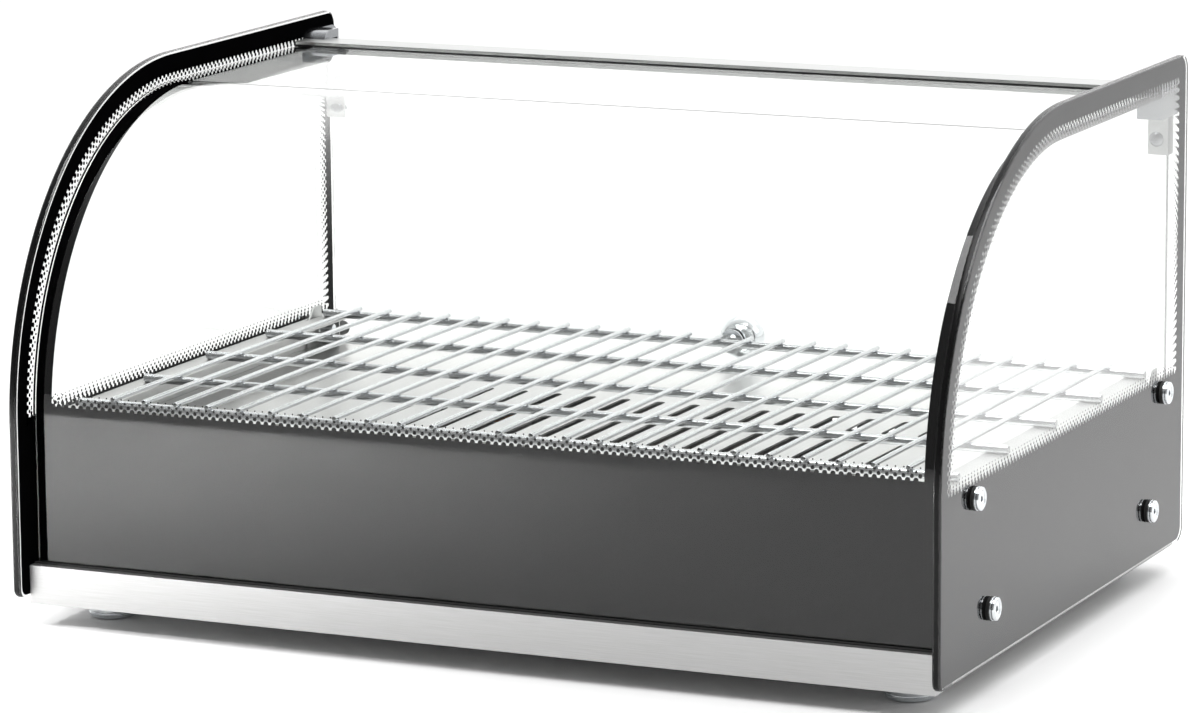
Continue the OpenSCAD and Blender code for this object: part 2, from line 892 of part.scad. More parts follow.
module base_screws() {
  color(chrome) from_front() for (x = base_screw_xs, y = base_screw_ys) {
    translate([x, y, pan_bottom]) rotate([90, 0, 0]) pan_head(0, 0, 0, 3.6, -1);
    rod_z(x, y, pan_bottom, pan_top + 4, 1.5);
  }
}

base_pan();
front_wall();
side_wall_left();
side_wall_right();
rear_panel();
deck();
side_glass_left();
side_glass_right();
front_glass();
front_glass_gasket();
rear_top_bar();
corner_clamp_left();
corner_clamp_right();
pivot_pin_left();
pivot_pin_right();
door_glass();
door_hinge_left();
door_hinge_right();
door_hinge_screws();
door_knob();
door_knob_washer();
door_knob_screw();
rack_stop_left();
rack_stop_right();
door_buffers();
wire_rack();
foot_front_left();
foot_front_right();
foot_rear_left();
foot_rear_right();
foot_pads();
foot_nuts();
standoff_caps();
standoff_spacers();
standoff_washers();
standoff_nuts();
heating_element();
element_hangers();
heat_shield();
heat_shield_posts();
thermostat_body();
thermostat_shaft();
thermostat_knob();
thermostat_bulb();
thermal_cutout();
switch_body();
switch_rocker();
pilot_lamp();
power_inlet();
inlet_pins();
inlet_screws();
terminal_block();
earth_stud();
wiring_loom();
rear_panel_screws();
base_screws();
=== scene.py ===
"""A counter-top hot food display case: its finishes and fine shapes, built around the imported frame.

The frame's nodes give every place and size. Glass, print, wires and turned pieces are made here;
the other pieces are finished copies of the frame's nodes with eased edges.
"""

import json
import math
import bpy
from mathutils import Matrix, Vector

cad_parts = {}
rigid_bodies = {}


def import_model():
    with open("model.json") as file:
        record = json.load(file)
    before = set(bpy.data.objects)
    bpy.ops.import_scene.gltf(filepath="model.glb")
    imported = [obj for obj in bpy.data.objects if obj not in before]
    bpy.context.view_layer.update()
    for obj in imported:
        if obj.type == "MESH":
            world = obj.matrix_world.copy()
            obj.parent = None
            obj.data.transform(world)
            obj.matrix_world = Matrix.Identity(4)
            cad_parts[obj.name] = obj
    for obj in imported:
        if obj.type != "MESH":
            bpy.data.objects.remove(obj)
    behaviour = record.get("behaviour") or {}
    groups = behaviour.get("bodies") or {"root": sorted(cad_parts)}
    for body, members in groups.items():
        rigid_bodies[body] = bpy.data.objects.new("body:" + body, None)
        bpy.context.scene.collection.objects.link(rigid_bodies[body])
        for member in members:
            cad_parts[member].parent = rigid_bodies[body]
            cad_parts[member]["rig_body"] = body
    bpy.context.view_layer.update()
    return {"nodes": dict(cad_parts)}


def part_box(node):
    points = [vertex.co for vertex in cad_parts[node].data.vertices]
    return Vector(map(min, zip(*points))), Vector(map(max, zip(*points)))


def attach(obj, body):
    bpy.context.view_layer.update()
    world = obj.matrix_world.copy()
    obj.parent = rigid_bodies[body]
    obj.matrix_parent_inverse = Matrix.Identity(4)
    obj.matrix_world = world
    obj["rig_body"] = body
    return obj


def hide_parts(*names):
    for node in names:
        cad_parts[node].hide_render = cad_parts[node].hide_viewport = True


bl_info = {
    "name": "Hot food display case",
    "version": (1, 0, 0),
    "blender": (4, 5, 0),
    "location": "View3D > Sidebar > Display case",
    "description": "Builds a heated counter display case piece by piece",
    "category": "Add Mesh",
}

import bmesh
import bpy
from bpy.props import FloatProperty, FloatVectorProperty, IntProperty, PointerProperty
from mathutils import Matrix, Vector

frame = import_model()

MM = 0.001
QUARTER = math.pi / 2
SIDES = (("left", -1), ("right", 1))
TO_X = Matrix.Rotation(QUARTER, 4, "Y")     # turns a piece that stands on Z to face +X
TO_Y = Matrix.Rotation(-QUARTER, 4, "X")    # turns a piece that stands on Z to face +Y
FRONT_GLASS = 5 * MM                        # thickness of the bent front glass
FIRST_ROW = 0.3 * MM                        # from the solid print to the first row of dots
TOUCH = 0.02 * MM                           # overlap or gap that keeps touching faces apart
HAIR = 0.04 * MM                            # gap between a metal face and the glass under it
SHARP_ANGLE = math.radians(32)              # an edge sharper than this is shaded as an edge


# --- sizes and settings ---------------------------------------------------


class GlassworkSizes(bpy.types.PropertyGroup):
    """Sizes of the panes and of the ceramic print on them"""

    bend_radius: FloatProperty(
        name="Bend radius", description="Radius of the side glasses' bent front edge",
        default=188 * MM, unit="LENGTH")
    corner_radius: FloatProperty(
        name="Corner radius", description="Radius of the side glasses' small corners",
        default=9 * MM, unit="LENGTH")
    arris: FloatProperty(
        name="Arris", description="Width of the ground bevel on every glass edge",
        default=1.3 * MM, unit="LENGTH")
    border: FloatProperty(
        name="Border", description="Width of the solid print along the side glasses' edges",
        default=12.3 * MM, unit="LENGTH")
    front_border: FloatProperty(
        name="Front border", description="Width of the solid print at the front glass's ends",
        default=10 * MM, unit="LENGTH")
    clear_edge: FloatProperty(
        name="Clear edge", description="Bare glass left outside the print",
        default=1.4 * MM, unit="LENGTH")
    side_band_top: FloatProperty(
        name="Side band top", description="Height where the side glasses' lower band ends",
        default=118.2 * MM, unit="LENGTH")
    front_band_top: FloatProperty(
        name="Front band top", description="Height where the front glass's lower band ends",
        default=124.8 * MM, unit="LENGTH")
    dot_pitch: FloatProperty(
        name="Dot pitch", description="Spacing of the dots in a row",
        default=4.67 * MM, unit="LENGTH")
    row_step: FloatProperty(
        name="Row step", description="Spacing of the rows of dots",
        default=2.2 * MM, unit="LENGTH")
    dot_radii: FloatVectorProperty(
        name="Dot radii", description="Radius of the dots in each row, from the border inwards",
        default=(1.5 * MM, 1.1 * MM, 0.75 * MM, 0.45 * MM), size=4, unit="LENGTH")
    print_thickness: FloatProperty(
        name="Print thickness", description="Thickness of the fired enamel",
        default=0.08 * MM, unit="LENGTH")


class MetalworkSizes(bpy.types.PropertyGroup):
    """Sizes that finish the metal pieces"""

    eased_edge: FloatProperty(
        name="Eased edge", description="Rounding of a cut sheet edge",
        default=0.2 * MM, unit="LENGTH")
    cross_wire: FloatProperty(
        name="Cross wire", description="Diameter of the rack's side-to-side wires",
        default=5 * MM, unit="LENGTH")
    depth_wire: FloatProperty(
        name="Depth wire", description="Diameter of the rack's front-to-rear wires",
        default=3 * MM, unit="LENGTH")
    cross_pitch: FloatProperty(
        name="Cross wire pitch", description="Spacing of the side-to-side wires",
        default=75.5 * MM, unit="LENGTH")
    depth_count: IntProperty(
        name="Depth wires", description="Number of front-to-rear wires", default=25)
    cross_count: IntProperty(
        name="Cross wires", description="Number of side-to-side wires", default=5)


class StudioSettings(bpy.types.PropertyGroup):
    """The floor, the lights and the camera"""

    backdrop: FloatVectorProperty(
        name="Backdrop", description="Colour of the floor", default=(0.9, 0.9, 0.9),
        subtype="COLOR", size=3)
    front_level: FloatProperty(
        name="Front level", description="Strength of the even light from the front", default=0.3)
    rear_level: FloatProperty(
        name="Rear level", description="Strength of the even light from the rear", default=1.5)
    key_power: FloatProperty(
        name="Key power", description="Power of the large soft box overhead, in watts", default=44.0)
    front_power: FloatProperty(
        name="Front power", description="Power of the spot on the floor in front, in watts",
        default=210.0)
    rear_power: FloatProperty(
        name="Rear power", description="Power of the soft box behind, in watts", default=24.0)
    side_power: FloatProperty(
        name="Side power", description="Power of the soft box on the right, in watts", default=3.0)
    roll: FloatProperty(
        name="Roll", description="How far the camera leans to its side", default=-0.0073,
        subtype="ANGLE", unit="ROTATION")
    lens: FloatProperty(
        name="Lens", description="Focal length in millimetres on a 36 mm sensor", default=165.61)


# --- meshes ---------------------------------------------------------------


def check_closed(bm, name):
    """A finished piece has no open or doubled edges."""
    loose = [e for e in bm.edges if not e.is_manifold]
    if loose:
        raise RuntimeError(f"{name} has {len(loose)} open edges")


def finish_piece(name, bm, body, material, replaced=(), closed=True):
    """Makes an object of a bmesh: merged, facing outwards, shaded, riding on its body."""
    bmesh.ops.remove_doubles(bm, verts=bm.verts, dist=1e-7)
    bmesh.ops.recalc_face_normals(bm, faces=bm.faces)
    if closed:
        check_closed(bm, name)
    mesh = bpy.data.meshes.new(name)
    bm.to_mesh(mesh)
    bm.free()
    mesh.materials.append(material)
    mesh.polygons.foreach_set("use_smooth", [True] * len(mesh.polygons))
    mesh.set_sharp_from_angle(angle=SHARP_ANGLE)
    piece = bpy.data.objects.new(name, mesh)
    bpy.context.scene.collection.objects.link(piece)
    even = piece.modifiers.new("Even shading", "WEIGHTED_NORMAL")
    even.keep_sharp = True
    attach(piece, body)
    if replaced:
        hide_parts(*replaced)
    return piece


def ease(bm, width, segments=2, angle=40):
    """Rounds every edge sharper than the angle."""
    edges = [e for e in bm.edges
             if e.is_manifold and e.calc_face_angle(0) > math.radians(angle)]
    bmesh.ops.bevel(bm, geom=edges, offset=width, segments=segments, profile=0.5,
                    affect="EDGES", clamp_overlap=True, material=-1)


def finished_copy(node, material, width=0.2 * MM, segments=2, name=None, off_glass=None):
    """A copy of a frame node with merged triangles and eased edges, which stands for the node.

    off_glass is (axis, place, offset): faces that lie on glass there are drawn back a hair.
    """
    source = frame["nodes"][node]
    bm = bmesh.new()
    bm.from_mesh(source.data)
    bmesh.ops.remove_doubles(bm, verts=bm.verts, dist=1e-6)
    bmesh.ops.dissolve_limit(bm, angle_limit=math.radians(0.4), verts=bm.verts, edges=bm.edges)
    if off_glass:
        axis, place, offset = off_glass
        for vert in bm.verts:
            if abs(vert.co[axis] - place) < 1e-5:
                vert.co[axis] += offset
    if width:
        ease(bm, width, segments)
    return finish_piece(name or f"{node}_finished", bm, source["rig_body"], material,
                        [node], closed=False)


def box_into(bm, low, high):
    """Adds a box from one corner to the other and returns its corners' verts."""
    low, high = Vector(low), Vector(high)
    size = high - low
    place = Matrix.Translation((low + high) / 2) @ Matrix.Diagonal((*size, 1))
    return bmesh.ops.create_cube(bm, size=1, matrix=place)["verts"]


def turned_into(bm, outline, place, steps=64):
    """Adds a turned piece: an outline of (radius, height) points spun about Z, then put in place."""
    before = set(bm.verts)
    verts = [bm.verts.new((r, 0, h)) for r, h in outline]
    edges = [bm.edges.new(pair) for pair in zip(verts, verts[1:])]
    bmesh.ops.spin(bm, geom=verts + edges, cent=(0, 0, 0), axis=(0, 0, 1), angle=2 * math.pi,
                   steps=steps, use_merge=True)
    made = [v for v in bm.verts if v not in before]
    bmesh.ops.transform(bm, matrix=place, verts=made)
    bmesh.ops.remove_doubles(bm, verts=made, dist=1e-7)


def rod_into(bm, start, end, radius, segments=20):
    """Adds a round bar from start to end."""
    start, end = Vector(start), Vector(end)
    along = end - start
    place = Matrix.Translation((start + end) / 2) @ along.to_track_quat("Z", "Y").to_matrix().to_4x4()
    bmesh.ops.create_cone(bm, cap_ends=True, segments=segments, radius1=radius, radius2=radius,
                          depth=along.length, matrix=place)


def rounded_face(bm, x, low, high, radii, segments):
    """A face at x with rounded corners, in the order low front, low rear, high rear, high front."""
    corners = [(low[0], low[1]), (high[0], low[1]), (high[0], high[1]), (low[0], high[1])]
    verts = [bm.verts.new((x, y, z)) for y, z in corners]
    before = set(bm.faces)
    bm.faces.new(verts)
    for vert, radius, count in zip(verts, radii, segments):
        bmesh.ops.bevel(bm, geom=[vert], offset=radius, segments=count, profile=0.5,
                        affect="VERTICES", clamp_overlap=False, material=-1)
    return [f for f in bm.faces if f not in before][0]


def thicken(bm, faces, offset):
    """Extrudes flat faces by an offset into a closed plate."""
    out = bmesh.ops.extrude_face_region(bm, geom=faces)
    moved = [g for g in out["geom"] if isinstance(g, bmesh.types.BMVert)]
    bmesh.ops.translate(bm, vec=offset, verts=moved)


# --- materials ------------------------------------------------------------


def colour(code):
    """An sRGB hex code as linear red, green, blue and alpha."""
    parts = [int(code[i:i + 2], 16) / 255 for i in (1, 3, 5)]
    linear = [c / 12.92 if c <= 0.04045 else ((c + 0.055) / 1.055) ** 2.4 for c in parts]
    return (*linear, 1.0)


def add(tree, kind, inputs=(), **settings):
    """Adds a node with its settings; each input is a value or another node's output socket."""
    node = tree.nodes.new(kind)
    for key, value in settings.items():
        setattr(node, key, value)
    for key, value in dict(inputs).items():
        if isinstance(value, bpy.types.NodeSocket):
            tree.links.new(value, node.inputs[key])
        else:
            node.inputs[key].default_value = value
    return node


def new_material(name, base, roughness, metallic=0.0, **more):
    """A material with one shader; returns it with its tree and shader."""
    material = bpy.data.materials.new(name)
    material.use_nodes = True
    tree = material.node_tree
    shader = tree.nodes["Principled BSDF"]
    shader.inputs["Base Color"].default_value = colour(base)
    shader.inputs["Roughness"].default_value = roughness
    shader.inputs["Metallic"].default_value = metallic
    for key, value in more.items():
        shader.inputs[key.replace("_", " ")].default_value = value
    return material, tree, shader


def grained(tree, shader, size, stretch, light, dark, rough, bump):
    """Gives a shader a stretched grain: size in metres, colours as hex, rough as a range."""
    place = add(tree, "ShaderNodeTexCoord")
    drawn = add(tree, "ShaderNodeMapping", {"Vector": place.outputs["Object"], "Scale": stretch})
    grain = add(tree, "ShaderNodeTexNoise",
                {"Vector": drawn.outputs[0], "Scale": 1 / size, "Detail": 4.0, "Roughness": 0.6})
    tone = add(tree, "ShaderNodeValToRGB", {"Fac": grain.outputs["Fac"]})
    tone.color_ramp.elements[0].color = colour(dark)
    tone.color_ramp.elements[0].position = 0.3
    tone.color_ramp.elements[1].color = colour(light)
    tone.color_ramp.elements[1].position = 0.7
    tree.links.new(tone.outputs["Color"], shader.inputs["Base Color"])
    gloss = add(tree, "ShaderNodeMapRange",
                {"Value": grain.outputs["Fac"], "To Min": rough[0], "To Max": rough[1]})
    tree.links.new(gloss.outputs["Result"], shader.inputs["Roughness"])
    relief = add(tree, "ShaderNodeBump",
                 {"Height": grain.outputs["Fac"], "Strength": bump[0], "Distance": bump[1]})
    tree.links.new(relief.outputs["Normal"], shader.inputs["Normal"])


def float_glass(name, tint):
    """Clear float glass: smooth both sides, faintly green in its thickness, lets light through."""
    material, tree, shader = new_material(name, tint, 0.0, IOR=1.52, Transmission_Weight=1.0)
    out = tree.nodes["Material Output"]
    path = add(tree, "ShaderNodeLightPath")
    through = add(tree, "ShaderNodeBsdfTransparent", {"Color": colour(tint)})
    mix = add(tree, "ShaderNodeMixShader",
              {0: path.outputs["Is Shadow Ray"], 1: shader.outputs[0], 2: through.outputs[0]})
    tree.links.new(mix.outputs[0], out.inputs["Surface"])
    return material


def black_enamel():
    """Fired ceramic enamel: a matt black frit fused to the glass, so it hardly shines itself.

    The frit's own grain is too fine to show, so the tone drifts in patches of 18 mm.
    """
    material, tree, shader = new_material(
        "fired_ceramic_enamel", "#040404", 0.6, Specular_IOR_Level=0.0)
    place = add(tree, "ShaderNodeTexCoord")
    frit = add(tree, "ShaderNodeTexNoise",
               {"Vector": place.outputs["Object"], "Scale": 1 / (18 * MM), "Detail": 1.0})
    tone = add(tree, "ShaderNodeMix",
               {"Factor": frit.outputs["Fac"], "A": colour("#030303"), "B": colour("#060607")},
               data_type="RGBA")
    tree.links.new(tone.outputs["Result"], shader.inputs["Base Color"])
    return material


def rim_lacquer():
    """Black lacquer on the ground rim of the glass: deep, with a dull gloss."""
    material, tree, shader = new_material(
        "lacquered_glass_rim", "#070707", 0.22, Specular_IOR_Level=0.2)
    place = add(tree, "ShaderNodeTexCoord")
    strokes = add(tree, "ShaderNodeTexNoise",
                  {"Vector": place.outputs["Object"], "Scale": 1 / (4 * MM), "Detail": 2.0})
    gloss = add(tree, "ShaderNodeMapRange",
                {"Value": strokes.outputs["Fac"], "To Min": 0.16, "To Max": 0.3})
    tree.links.new(gloss.outputs["Result"], shader.inputs["Roughness"])
    return material


def brushed_stainless():
    """Brushed 304 stainless sheet: fine scratches along X from a belt, soft wide highlights."""
    material, tree, shader = new_material("brushed_stainless_sheet", "#b6b6b4", 0.42, 1.0)
    grained(tree, shader, 0.6 * MM, (0.02, 1, 1), "#c0c0c0", "#b3b3b2", (0.36, 0.48),
            (0.12, 0.02 * MM))
    return material


def polished_stainless():
    """Bright annealed stainless sheet: blurred reflections, a faint rolling grain along Y."""
    material, tree, shader = new_material("bright_annealed_stainless", "#dadad9", 0.3, 1.0)
    grained(tree, shader, 0.8 * MM, (1, 0.03, 1), "#e0e0df", "#d6d6d5", (0.26, 0.35),
            (0.05, 0.02 * MM))
    return material


def satin_steel():
    """Zinc-plated or satin steel of brackets, nuts and fittings: dull grey with a fine bloom."""
    material, tree, shader = new_material("satin_zinc_plated_steel", "#b4b5b4", 0.34, 1.0)
    grained(tree, shader, 0.8 * MM, (1, 1, 1), "#bcbdbc", "#a9aaa9", (0.28, 0.4), (0.08, 0.01 * MM))
    return material


def chrome_plate():
    """Bright nickel-chrome plate: cold mirror, a trace of polishing haze in the roughness."""
    material, tree, shader = new_material("bright_chrome_plate", "#d9dcdf", 0.06, 1.0)
    grained(tree, shader, 1.5 * MM, (1, 1, 1), "#dde0e2", "#d3d6d9", (0.045, 0.085),
            (0.02, 0.01 * MM))
    return material


def cast_zinc():
    """Polished zinc die casting: a darker and softer mirror than chrome plate."""
    material, tree, shader = new_material("polished_zinc_casting", "#909294", 0.18, 1.0)
    grained(tree, shader, 1.2 * MM, (1, 1, 1), "#989a9c", "#85878a", (0.14, 0.24),
            (0.06, 0.01 * MM))
    return material


def rack_chrome():
    """Chrome plate over drawn wire: softer than polished chrome, with a fine drawn grain."""
    material, tree, shader = new_material("chrome_plated_drawn_wire", "#c6c8ca", 0.16, 1.0)
    grained(tree, shader, 0.7 * MM, (1, 1, 1), "#cbcdcf", "#bec0c2", (0.12, 0.21),
            (0.05, 0.01 * MM))
    return material


def dark_rubber():
    """Extruded EPDM rubber: near black, matt, with a very fine bloom."""
    material, tree, shader = new_material("extruded_epdm_rubber", "#141414", 0.62)
    grained(tree, shader, 0.5 * MM, (1, 1, 1), "#191919", "#0f0f0f", (0.55, 0.72), (0.2, 0.02 * MM))
    return material


def black_moulding():
    """Injection-moulded black nylon: spark-eroded fine texture, satin."""
    material, tree, shader = new_material("moulded_black_nylon", "#1a1a1b", 0.45)
    grained(tree, shader, 0.45 * MM, (1, 1, 1), "#1e1e1f", "#151516", (0.4, 0.52), (0.25, 0.03 * MM))
    return material


def coloured_moulding(name, light, dark, **more):
    """Gloss polycarbonate or urea moulding in one colour with slight flow variation."""
    material, tree, shader = new_material(name, light, 0.2, IOR=1.58, **more)
    grained(tree, shader, 2 * MM, (1, 1, 1), light, dark, (0.16, 0.26), (0.03, 0.01 * MM))
    return material


def black_paint():
    """Powder coat, satin black: faint orange peel."""
    material, tree, shader = new_material("satin_black_powder_coat", "#121213", 0.4)
    grained(tree, shader, 0.9 * MM, (1, 1, 1), "#151516", "#0f0f10", (0.34, 0.46), (0.15, 0.02 * MM))
    return material


def brass():
    """Drawn brass with a light tarnish in patches."""
    material, tree, shader = new_material("drawn_brass", "#c9a55a", 0.3, 1.0)
    grained(tree, shader, 4 * MM, (1, 1, 1), "#d2ae60", "#a98743", (0.24, 0.42), (0.05, 0.01 * MM))
    return material


def insulation():
    """Silicone lead insulation, brick red, matt with chalky patches."""
    material, tree, shader = new_material("silicone_insulation", "#8a3a22", 0.55)
    grained(tree, shader, 5 * MM, (1, 1, 1), "#94422a", "#7d321c", (0.48, 0.62), (0.1, 0.02 * MM))
    return material


def heater_sheath():
    """Nickel alloy heater sheath: dark oxide, straw and blue patches from heat."""
    material, tree, shader = new_material("heat_tinted_nickel_alloy", "#6b6660", 0.42, 1.0)
    grained(tree, shader, 14 * MM, (1, 1, 1), "#7b746b", "#4c4a4d", (0.36, 0.52), (0.08, 0.02 * MM))
    return material


MATERIALS = {}


def make_materials():
    """Makes every material once."""
    MATERIALS.update(
        glass=float_glass("clear_float_glass", "#fdfefd"),
        enamel=black_enamel(),
        rim=rim_lacquer(),
        brushed=brushed_stainless(),
        polished=polished_stainless(),
        satin=satin_steel(),
        chrome=chrome_plate(),
        cast=cast_zinc(),
        rack=rack_chrome(),
        rubber=dark_rubber(),
        nylon=black_moulding(),
        paint=black_paint(),
        brass=brass(),
        leads=insulation(),
        sheath=heater_sheath(),
        red=coloured_moulding("moulded_red_polycarbonate", "#b3160f", "#9a110c"),
        amber=coloured_moulding("moulded_amber_polycarbonate", "#e0731c", "#cc6314"),
        white=coloured_moulding("moulded_white_urea", "#dcdad2", "#d2d0c8"),
    )


# --- operators ------------------------------------------------------------


def glasswork():
    return bpy.context.scene.display_case_glass


def metalwork():
    return bpy.context.scene.display_case_metal


class Bend:
    """The bend that the side glasses' front edge and the front glass share."""

    def __init__(self):
        low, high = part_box("side_glass_right")
        self.radius = glasswork().bend_radius
        self.centre = Vector((0, low.y + self.radius, high.z - self.radius))

    def at(self, radius, angle):
        """The point (y, z) at that radius, the angle counted from the front to the top."""
        return (self.centre.y - radius * math.cos(angle), self.centre.z + radius * math.sin(angle))


def carry_on(bm, ring, offset):
    """Extrudes a ring of edges by an offset and returns the new ring."""
    out = bmesh.ops.extrude_edge_only(bm, edges=ring)
    moved = [g for g in out["geom"] if isinstance(g, bmesh.types.BMVert)]
    bmesh.ops.translate(bm, vec=offset, verts=moved)
    return [g for g in out["geom"] if isinstance(g, bmesh.types.BMEdge)
            and all(v in moved for v in g.verts)]


def sweep_bend(bm, across, outer, thickness, low, rear=None, turn=QUARTER, steps=72):
    """Adds a strip that rises from low, follows the bend, and runs on flat to rear if given.

    across is its (low, high) x, outer the radius of its outer face in the bend.
    """
    bend = Bend()
    front = bend.centre.y - outer
    corners = [(across[0], front), (across[1], front),
               (across[1], front + thickness), (across[0], front + thickness)]
    ring = [bm.verts.new((x, y, low)) for x, y in corners]
    ring = [bm.edges.new((ring[i - 1], ring[i])) for i in range(4)]
    first = list(ring)
    ring = carry_on(bm, ring, (0, 0, bend.centre.z - low))
    out = bmesh.ops.spin(bm, geom=ring, cent=bend.centre, axis=(1, 0, 0), angle=-turn, steps=steps)
    ring = [g for g in out["geom_last"] if isinstance(g, bmesh.types.BMEdge)]
    if rear is not None:
        ring = carry_on(bm, ring, (0, rear - bend.centre.y, 0))
    bmesh.ops.holes_fill(bm, edges=first + ring, sides=4)


class CASE_OT_glass_panes(bpy.types.Operator):
    """Bent front glass, two side glasses and the door glass, with ground edges"""

    bl_idname = "display_case.glass_panes"
    bl_label = "Glass panes"

    def execute(self, context):
        sizes = glasswork()
        low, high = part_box("front_glass")
        bm = bmesh.new()
        side_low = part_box("side_glass_right")[0]
        inset = low.y - side_low.y
        sweep_bend(bm, (low.x, high.x), sizes.bend_radius - inset, FRONT_GLASS, low.z, high.y)
        ease(bm, sizes.arris, 2)
        finish_piece("front_pane", bm, "case", MATERIALS["glass"],
                     ["front_glass"])
        for side, _ in SIDES:
            node = f"side_glass_{side}"
            low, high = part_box(node)
            bm = bmesh.new()
            small = sizes.corner_radius
            face = rounded_face(bm, low.x, (low.y, low.z), (high.y, high.z),
                                (6 * MM, small, small, sizes.bend_radius), (8, 10, 10, 96))
            thicken(bm, [face], (high.x - low.x, 0, 0))
            ease(bm, sizes.arris, 2)
            bm.normal_update()
            for face in bm.faces:
                rim = abs(face.normal.x) < 0.1 and face.normal.y < 0.5
                face.material_index = 1 if rim else 0
            pane = finish_piece(f"{side}_side_pane", bm, "case",
                                MATERIALS["glass"], [node])
            pane.data.materials.append(MATERIALS["rim"])
        finished_copy("door_glass", MATERIALS["glass"], sizes.arris, name="door_pane")
        return {"FINISHED"}


class CASE_OT_ceramic_print(bpy.types.Operator):
    """Black fired print on the inner faces of the glass, ending in rows of shrinking dots"""

    bl_idname = "display_case.ceramic_print"
    bl_label = "Ceramic print"

    def dot(self, bm, place, radius):
        """One printed dot, standing on Z before it is put in place."""
        bmesh.ops.create_cone(bm, cap_ends=True, segments=12, radius1=radius, radius2=radius,
                              depth=glasswork().print_thickness, matrix=place)

    def side_window_stretches(self, low, high, offset):
        """The window's edge at an offset inside the border, as functions of 0 to 1 with lengths."""
        sizes = glasswork()
        bend = Bend()
        border = sizes.border + offset
        front, rear, top = low.y + border, high.y - border, high.z - border
        bottom = sizes.side_band_top + offset
        radius = bend.radius - border

        def line(start, end):
            a, b = Vector(start), Vector(end)
            return (lambda t: a.lerp(b, t)), (b - a).length

        return [
            line((front, bottom), (front, bend.centre.z)),
            (lambda t: Vector(bend.at(radius, t * QUARTER)), radius * QUARTER),
            line((bend.centre.y, top), (rear, top)),
            line((rear, top), (rear, bottom)),
            line((rear, bottom), (front, bottom)),
        ]

    def side_print(self, side, sign):
        """The solid print of a side glass around its window, with its dots."""
        sizes = glasswork()
        low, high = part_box(f"side_glass_{side}")
        inner = low.x if sign > 0 else high.x
        x = inner - sign * (sizes.print_thickness - TOUCH)
        edge = sizes.clear_edge
        small = sizes.corner_radius - edge
        bm = bmesh.new()
        segments = (4, 6, 6, 96)
        outer = rounded_face(bm, x, (low.y + edge, low.z + edge), (high.y - edge, high.z - edge),
                             (5 * MM, small, small, sizes.bend_radius - edge), segments)
        border = sizes.border
        window = rounded_face(
            bm, x, (low.y + border, sizes.side_band_top), (high.y - border, high.z - border),
            (1 * MM, 1 * MM, 2 * MM, sizes.bend_radius - border), segments)
        rims = list(outer.edges) + list(window.edges)
        bmesh.ops.delete(bm, geom=[outer, window], context="FACES_ONLY")
        filled = bmesh.ops.triangle_fill(bm, use_beauty=True, edges=rims)["geom"]
        band = [g for g in filled if isinstance(g, bmesh.types.BMFace)]
        thicken(bm, band, (sign * sizes.print_thickness, 0, 0))
        middle = x + sign * sizes.print_thickness / 2
        base = self.side_window_stretches(low, high, 0)
        counts = [max(1, round(length / sizes.dot_pitch)) for _, length in base]
        for row, radius in enumerate(sizes.dot_radii):
            stretches = self.side_window_stretches(low, high, FIRST_ROW + row * sizes.row_step)
            for (point, _), count in zip(stretches, counts):
                for i in range(count):
                    y, z = point((i + 0.5 * (row % 2)) / count)
                    self.dot(bm, Matrix.Translation((middle, y, z)) @ TO_X, radius)
        finish_piece(f"{side}_side_print", bm, "case", MATERIALS["enamel"])

    def front_print(self):
        """The front glass's lower band, the borders at its ends and the dots above the band."""
        sizes = glasswork()
        bend = Bend()
        low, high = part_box("front_glass")
        inner = bend.centre.y - low.y - FRONT_GLASS
        skin = sizes.print_thickness
        outer = inner + TOUCH
        edge = 0.8 * MM
        border = sizes.front_border
        left, right = low.x + edge, high.x - edge
        start, end = left + border, right - border
        band_turn = math.asin((sizes.front_band_top - bend.centre.z) / inner)
        parted = 0.01 * MM
        bm = bmesh.new()
        sweep_bend(bm, (start + parted, end - parted), outer, skin, low.z + edge,
                   turn=band_turn, steps=4)
        for x in (left, end):
            sweep_bend(bm, (x, x + border), outer, skin, low.z + edge, high.y - edge)
        span = right - left - 2 * border
        count = round(span / sizes.dot_pitch)
        for row, radius in enumerate(sizes.dot_radii):
            angle = band_turn + (FIRST_ROW + row * sizes.row_step) / inner
            y, z = bend.at(outer - skin / 2, angle)
            for i in range(count + 1):
                x = start + (i + 0.5 * (row % 2)) * span / count
                if x < end:
                    tilt = Matrix.Rotation(-angle, 4, "X")
                    self.dot(bm, Matrix.Translation((x, y, z)) @ tilt @ TO_Y, radius)
        finish_piece("front_print", bm, "case", MATERIALS["enamel"])

    def execute(self, context):
        self.front_print()
        for side, sign in SIDES:
            self.side_print(side, sign)
        return {"FINISHED"}


class CASE_OT_sheet_metal(bpy.types.Operator):
    """Base pan, walls, rear panel, slotted deck, rack stops, and the rear top bar with its cap"""

    bl_idname = "display_case.sheet_metal"
    bl_label = "Sheet metal"

    def execute(self, context):
        eased = metalwork().eased_edge
        for node in ("base_pan", "front_wall", "side_wall_left", "side_wall_right", "rear_panel"):
            finished_copy(node, MATERIALS["brushed"], eased)
        finished_copy("deck", MATERIALS["polished"], eased)
        for node in ("rack_stop_left", "rack_stop_right"):
            finished_copy(node, MATERIALS["satin"], eased)
        finished_copy("rear_top_bar", MATERIALS["paint"], 0.3 * MM)
        low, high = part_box("rear_top_bar")
        bm = bmesh.new()
        inset, skin, black_foot = 1 * MM, 0.25 * MM, 1.4 * MM
        box_into(bm, (low.x + inset, low.y - skin, low.z + black_foot),
                 (high.x - inset, high.y - 0.3 * MM, high.z + skin))
        ease(bm, 0.1 * MM)
        finish_piece("rear_top_bar_trim", bm, "case", MATERIALS["satin"])
        return {"FINISHED"}


